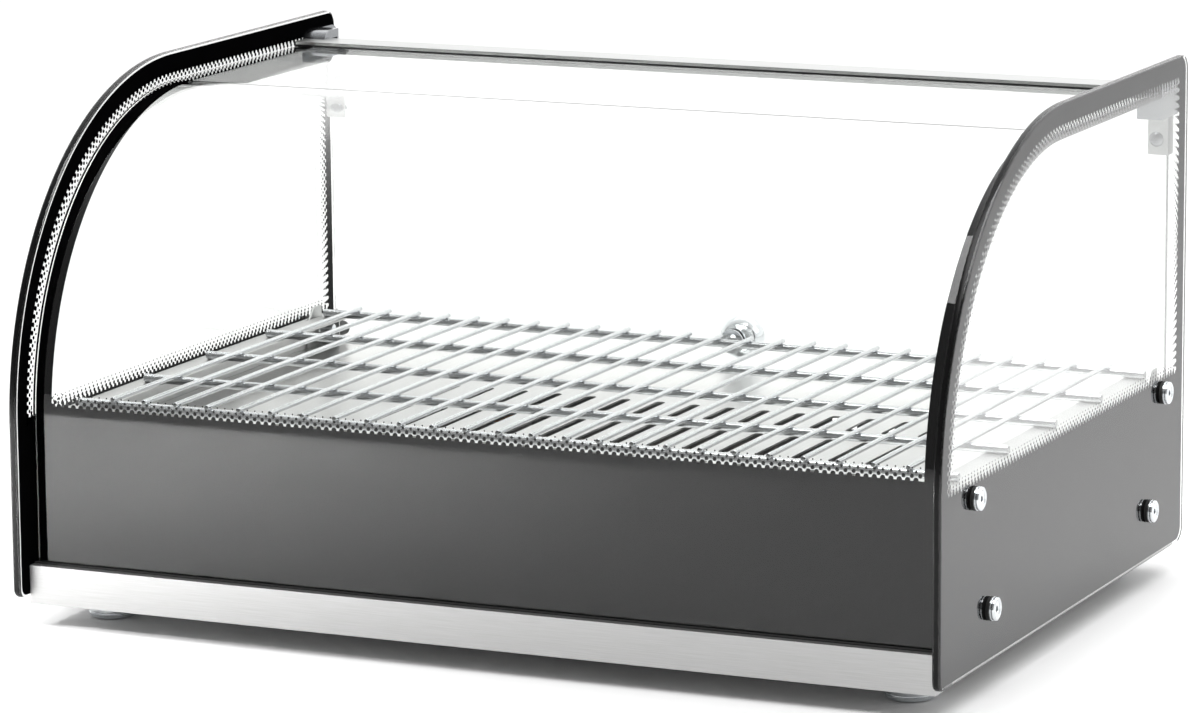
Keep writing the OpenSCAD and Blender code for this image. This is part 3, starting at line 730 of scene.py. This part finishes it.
class CASE_OT_rubber(bpy.types.Operator):
    """Glass channel, washers, door buffers and foot pads in rubber"""

    bl_idname = "display_case.rubber"
    bl_label = "Rubber"

    def execute(self, context):
        for node in ("front_glass_gasket", "standoff_washers", "door_buffers", "foot_pads"):
            finished_copy(node, MATERIALS["rubber"], 0.3 * MM)
        return {"FINISHED"}


class CASE_OT_wire_rack(bpy.types.Operator):
    """Chromed rack of welded wires"""

    bl_idname = "display_case.wire_rack"
    bl_label = "Wire rack"

    def execute(self, context):
        sizes = metalwork()
        low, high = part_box("wire_rack")
        thick, thin = sizes.cross_wire / 2, sizes.depth_wire / 2
        cross_z = low.z + thick
        depth_z = high.z - thin
        middle = (low.y + high.y) / 2
        bm = bmesh.new()
        for i in range(sizes.cross_count):
            y = middle + (i - (sizes.cross_count - 1) / 2) * sizes.cross_pitch
            rod_into(bm, (low.x, y, cross_z), (high.x, y, cross_z), thick, 24)
        pitch = 20 * MM
        for i in range(sizes.depth_count):
            x = (i - (sizes.depth_count - 1) / 2) * pitch
            rod_into(bm, (x, low.y, depth_z), (x, high.y, depth_z), thin, 20)
        ease(bm, 0.5 * MM, 3, angle=60)
        finish_piece("welded_rack", bm, "wire_rack", MATERIALS["rack"],
                     ["wire_rack"])
        return {"FINISHED"}


class CASE_OT_corner_clamps(bpy.types.Operator):
    """Polished zinc clamps in the upper rear corners, and the door's pivot pins"""

    bl_idname = "display_case.corner_clamps"
    bl_label = "Corner clamps"

    def execute(self, context):
        for side, sign in SIDES:
            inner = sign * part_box("side_glass_right")[0].x
            finished_copy(f"corner_clamp_{side}", MATERIALS["cast"], 0.35 * MM, 3,
                          off_glass=(0, inner, -sign * HAIR))
            finished_copy(f"pivot_pin_{side}", MATERIALS["cast"], 0.3 * MM, 3)
        return {"FINISHED"}


class CASE_OT_door_fittings(bpy.types.Operator):
    """Hinge plates with their screws, and the ball knob"""

    bl_idname = "display_case.door_fittings"
    bl_label = "Door fittings"

    def execute(self, context):
        for side, _ in SIDES:
            finished_copy(f"door_hinge_{side}", MATERIALS["satin"], 0.25 * MM,
                          off_glass=(1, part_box("door_glass")[0].y, -HAIR))
        finished_copy("door_hinge_screws", MATERIALS["cast"], 0.15 * MM)
        finished_copy("door_knob_screw", MATERIALS["chrome"], 0.15 * MM)
        finished_copy("door_knob_washer", MATERIALS["chrome"], 0.2 * MM)
        low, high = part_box("door_knob")
        radius = (high.z - low.z) / 2
        middle = (low.z + high.z) / 2
        neck = 7.5 * MM
        start = math.asin(neck / radius)
        steps = 40
        arc = [math.pi - start + (start - math.pi) * i / steps for i in range(steps + 1)]
        outline = [(0, HAIR), (neck, HAIR)]
        outline += [(radius * math.sin(a), radius + radius * math.cos(a)) for a in arc[:-1]]
        outline += [(0, 2 * radius)]
        bm = bmesh.new()
        turned_into(bm, outline, Matrix.Translation((0, low.y, middle)) @ TO_Y, 72)
        finish_piece("ball_knob", bm, "rear_door", MATERIALS["chrome"],
                     ["door_knob"])
        return {"FINISHED"}


class CASE_OT_feet(bpy.types.Operator):
    """Four turned feet with a fine groove, and their nuts"""

    bl_idname = "display_case.feet"
    bl_label = "Feet"

    def execute(self, context):
        finished_copy("foot_nuts", MATERIALS["satin"], 0.3 * MM)
        for place in ("front_left", "front_right", "rear_left", "rear_right"):
            node = f"foot_{place}"
            low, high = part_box(node)
            middle = (low + high) / 2
            r = (high.x - low.x) / 2
            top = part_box("base_pan")[0].z
            bottom = low.z
            groove = bottom + 2.4 * MM
            outline = [
                (0, bottom + 1.1 * MM), (10.1 * MM, bottom + 1.1 * MM), (10.1 * MM, bottom),
                (r - 1.4 * MM, bottom), (r - 0.5 * MM, bottom + 0.7 * MM), (r - 0.1 * MM, groove),
                (r - 0.7 * MM, groove + 0.2 * MM), (r - 0.7 * MM, groove + 0.6 * MM),
                (r, groove + 0.8 * MM), (r, top - 1.8 * MM), (r - 0.5 * MM, top - 0.6 * MM),
                (r - 1.8 * MM, top - TOUCH), (8 * MM, top - TOUCH),
                (8 * MM, top + 1.15 * MM), (3 * MM, top + 1.15 * MM), (3 * MM, high.z), (0, high.z),
            ]
            bm = bmesh.new()
            turned_into(bm, outline, Matrix.Translation((middle.x, middle.y, 0)), 72)
            ease(bm, 0.25 * MM, 2, angle=30)
            finish_piece(f"turned_{node}", bm, "case", MATERIALS["chrome"], [node])
        return {"FINISHED"}


class CASE_OT_standoffs(bpy.types.Operator):
    """Chromed caps on rubber spacers that hold the side glasses"""

    bl_idname = "display_case.standoffs"
    bl_label = "Standoffs"

    def places(self):
        """The middle of each standoff on a side, as (y, z); the lower two are nearer the middle."""
        low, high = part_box("standoff_caps")
        rise = 64.7 * MM
        nearer = 24 * MM
        r = (high.z - low.z - rise) / 2
        middle = (low.y + high.y) / 2
        half_high = (high.y - low.y) / 2 - r
        half_low = half_high - nearer
        return [(middle - half_high, high.z - r), (middle + half_high, high.z - r),
                (middle - half_low, low.z + r), (middle + half_low, low.z + r)]

    def execute(self, context):
        finished_copy("standoff_nuts", MATERIALS["satin"], 0.3 * MM)
        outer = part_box("standoff_caps")[1].x
        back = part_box("standoff_spacers")[1].x
        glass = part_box("side_glass_right")[1].x
        screw_end = 255 * MM
        r = 6.5 * MM
        caps, spacers = bmesh.new(), bmesh.new()
        for y, z in self.places():
            for sign in (1, -1):
                face = TO_X if sign > 0 else Matrix.Rotation(-QUARTER, 4, "Y")
                place = Matrix.Translation((0, y, z)) @ face
                turned_into(caps, [
                    (0, screw_end), (2.6 * MM, screw_end), (2.9 * MM, screw_end + 0.4 * MM),
                    (2.9 * MM, back), (r - 0.3 * MM, back), (r, back + 0.2 * MM),
                    (r, back + 0.8 * MM), (r - 0.25 * MM, back + 1 * MM),
                    (r - 0.7 * MM, back + 1.05 * MM), (r - 0.7 * MM, back + 1.45 * MM),
                    (r - 0.25 * MM, back + 1.5 * MM), (r, back + 1.75 * MM),
                    (r, outer - 0.8 * MM), (r - 0.25 * MM, outer - 0.35 * MM),
                    (r - 0.9 * MM, outer), (r - 1.7 * MM, outer - 0.2 * MM),
                    (r - 2.1 * MM, outer - 0.6 * MM), (1.9 * MM, outer - 0.5 * MM),
                    (1.6 * MM, outer - 0.75 * MM), (1.5 * MM, outer - 2.2 * MM),
                    (0, outer - 2.5 * MM)], place, 48)
                turned_into(spacers, [
                    (3.0 * MM, glass), (r - 0.25 * MM, glass), (r, glass + 0.25 * MM),
                    (r, back - 0.3 * MM), (r - 0.3 * MM, back), (3.0 * MM, back),
                    (3.0 * MM, glass)], place, 48)
        finish_piece("turned_standoff_caps", caps, "case", MATERIALS["chrome"],
                     ["standoff_caps"])
        finish_piece("moulded_standoff_spacers", spacers, "case",
                     MATERIALS["rubber"], ["standoff_spacers"])
        return {"FINISHED"}


class CASE_OT_heating(bpy.types.Operator):
    """Sheathed element on its hangers, heat shield, sensor bulb and cut-out"""

    bl_idname = "display_case.heating"
    bl_label = "Heating"

    def execute(self, context):
        finished_copy("heating_element", MATERIALS["sheath"], 0)
        for node in ("element_hangers", "heat_shield", "heat_shield_posts"):
            finished_copy(node, MATERIALS["satin"], 0.15 * MM)
        finished_copy("thermostat_bulb", MATERIALS["brass"], 0.2 * MM)
        finished_copy("thermal_cutout", MATERIALS["nylon"], 0.2 * MM)
        return {"FINISHED"}


class CASE_OT_controls(bpy.types.Operator):
    """Thermostat, switch, pilot lamp, inlet and their wiring"""

    bl_idname = "display_case.controls"
    bl_label = "Controls"

    def execute(self, context):
        for node in ("thermostat_body", "thermostat_knob", "switch_body", "power_inlet"):
            finished_copy(node, MATERIALS["nylon"], 0.35 * MM, 3)
        finished_copy("thermostat_shaft", MATERIALS["satin"], 0.3 * MM)
        finished_copy("switch_rocker", MATERIALS["red"], 0.4 * MM, 3)
        finished_copy("pilot_lamp", MATERIALS["amber"], 0.2 * MM)
        finished_copy("inlet_pins", MATERIALS["chrome"], 0.3 * MM)
        finished_copy("inlet_screws", MATERIALS["chrome"], 0.1 * MM)
        finished_copy("terminal_block", MATERIALS["white"], 0.3 * MM)
        finished_copy("earth_stud", MATERIALS["brass"], 0.2 * MM)
        finished_copy("wiring_loom", MATERIALS["leads"], 0)
        return {"FINISHED"}


class CASE_OT_screws(bpy.types.Operator):
    """Screws of the rear panel and of the base pan"""

    bl_idname = "display_case.screws"
    bl_label = "Screws"

    def execute(self, context):
        finished_copy("rear_panel_screws", MATERIALS["chrome"], 0.1 * MM)
        finished_copy("base_screws", MATERIALS["chrome"], 0.1 * MM)
        return {"FINISHED"}


class CASE_OT_studio(bpy.types.Operator):
    """Pale floor, soft lights and the camera"""

    bl_idname = "display_case.studio"
    bl_label = "Studio"

    def soft_box(self, name, place, aim, size, power):
        light = bpy.data.lights.new(name, "AREA")
        light.shape = "RECTANGLE"
        light.size, light.size_y = size
        light.energy = power
        lamp = bpy.data.objects.new(name, light)
        lamp.location = place
        lamp.rotation_euler = (Vector(aim) - Vector(place)).to_track_quat("-Z", "Y").to_euler()
        bpy.context.scene.collection.objects.link(lamp)

    def execute(self, context):
        scene = context.scene
        studio = scene.display_case_studio
        scene.view_settings.view_transform = "Standard"
        world = bpy.data.worlds.new("Even studio light")
        world.use_nodes = True
        tree = world.node_tree
        place = add(tree, "ShaderNodeTexCoord")
        facing = add(tree, "ShaderNodeSeparateXYZ", {"Vector": place.outputs["Generated"]})
        level = add(tree, "ShaderNodeMapRange",
                    {"Value": facing.outputs["Y"], "From Min": -0.6, "From Max": 0.6,
                     "To Min": studio.front_level, "To Max": studio.rear_level},
                    interpolation_type="SMOOTHSTEP")
        sky = tree.nodes["Background"]
        sky.inputs["Color"].default_value = (1, 1, 1, 1)
        tree.links.new(level.outputs["Result"], sky.inputs["Strength"])
        scene.world = world

        material, tree, shader = new_material("matt_white_paper", "#f2f2f2", 0.8)
        shader.inputs["Base Color"].default_value = (*studio.backdrop, 1)
        bm = bmesh.new()
        bmesh.ops.create_grid(bm, x_segments=1, y_segments=1, size=6)
        mesh = bpy.data.meshes.new("floor")
        bm.to_mesh(mesh)
        bm.free()
        mesh.materials.append(material)
        floor = bpy.data.objects.new("floor", mesh)
        scene.collection.objects.link(floor)

        self.soft_box("overhead_box", (0.2, -0.6, 2.2), (0.1, -0.4, 0), (2.0, 1.4), studio.key_power)
        self.soft_box("rear_box", (0, 3.2, 2.5), (0, 3.2, 0), (4, 4), studio.rear_power)
        self.soft_box("side_box", (1.6, 0.9, 1.1), (0.5, 0.2, 0), (1, 1), studio.side_power)
        spot = bpy.data.lights.new("floor_spot", "SPOT")
        spot.energy = studio.front_power
        spot.spot_size, spot.spot_blend, spot.shadow_soft_size = math.radians(56), 1.0, 0.1
        lamp = bpy.data.objects.new("floor_spot", spot)
        lamp.location = (-0.95, -0.8, 0.8)
        aim = Vector((-0.6, -0.6, 0)) - lamp.location
        lamp.rotation_euler = aim.to_track_quat("-Z", "Y").to_euler()
        scene.collection.objects.link(lamp)

        camera = bpy.data.cameras.new("camera")
        camera.lens = studio.lens
        camera.clip_start, camera.clip_end = 0.1, 60
        eye = bpy.data.objects.new("camera", camera)
        azimuth, elevation, distance = math.radians(24.479), math.radians(10.886), 2.9175
        back = Vector((math.sin(azimuth) * math.cos(elevation),
                       -math.cos(azimuth) * math.cos(elevation), math.sin(elevation)))
        target = Vector((84.66, -205, 181.98)) * MM
        eye.location = target + back * distance
        level = (-back).to_track_quat("-Z", "Y").to_matrix()
        eye.rotation_euler = (level @ Matrix.Rotation(studio.roll, 3, "Z")).to_euler()
        scene.collection.objects.link(eye)
        scene.camera = eye
        return {"FINISHED"}


OPERATORS = (
    CASE_OT_glass_panes,
    CASE_OT_ceramic_print,
    CASE_OT_sheet_metal,
    CASE_OT_rubber,
    CASE_OT_wire_rack,
    CASE_OT_corner_clamps,
    CASE_OT_door_fittings,
    CASE_OT_feet,
    CASE_OT_standoffs,
    CASE_OT_heating,
    CASE_OT_controls,
    CASE_OT_screws,
    CASE_OT_studio,
)


class CASE_PT_pieces(bpy.types.Panel):
    """Lists the pieces of the display case"""

    bl_idname = "CASE_PT_pieces"
    bl_label = "Display case"
    bl_space_type = "VIEW_3D"
    bl_region_type = "UI"
    bl_category = "Display case"

    def draw(self, context):
        for operator in OPERATORS:
            self.layout.operator(operator.bl_idname)
        for group in (context.scene.display_case_glass, context.scene.display_case_metal,
                      context.scene.display_case_studio):
            for name in group.__annotations__:
                self.layout.prop(group, name)


SETTINGS = {
    "display_case_glass": GlassworkSizes,
    "display_case_metal": MetalworkSizes,
    "display_case_studio": StudioSettings,
}


def register():
    for name, group in SETTINGS.items():
        bpy.utils.register_class(group)
        setattr(bpy.types.Scene, name, PointerProperty(type=group))
    for operator in OPERATORS:
        bpy.utils.register_class(operator)
    bpy.utils.register_class(CASE_PT_pieces)


def unregister():
    bpy.utils.unregister_class(CASE_PT_pieces)
    for operator in reversed(OPERATORS):
        bpy.utils.unregister_class(operator)
    for name, group in reversed(SETTINGS.items()):
        delattr(bpy.types.Scene, name)
        bpy.utils.unregister_class(group)


def main():
    register()
    make_materials()
    for operator in OPERATORS:
        group, call = operator.bl_idname.split(".")
        getattr(getattr(bpy.ops, group), call)()


if __name__ == "__main__":
    main()
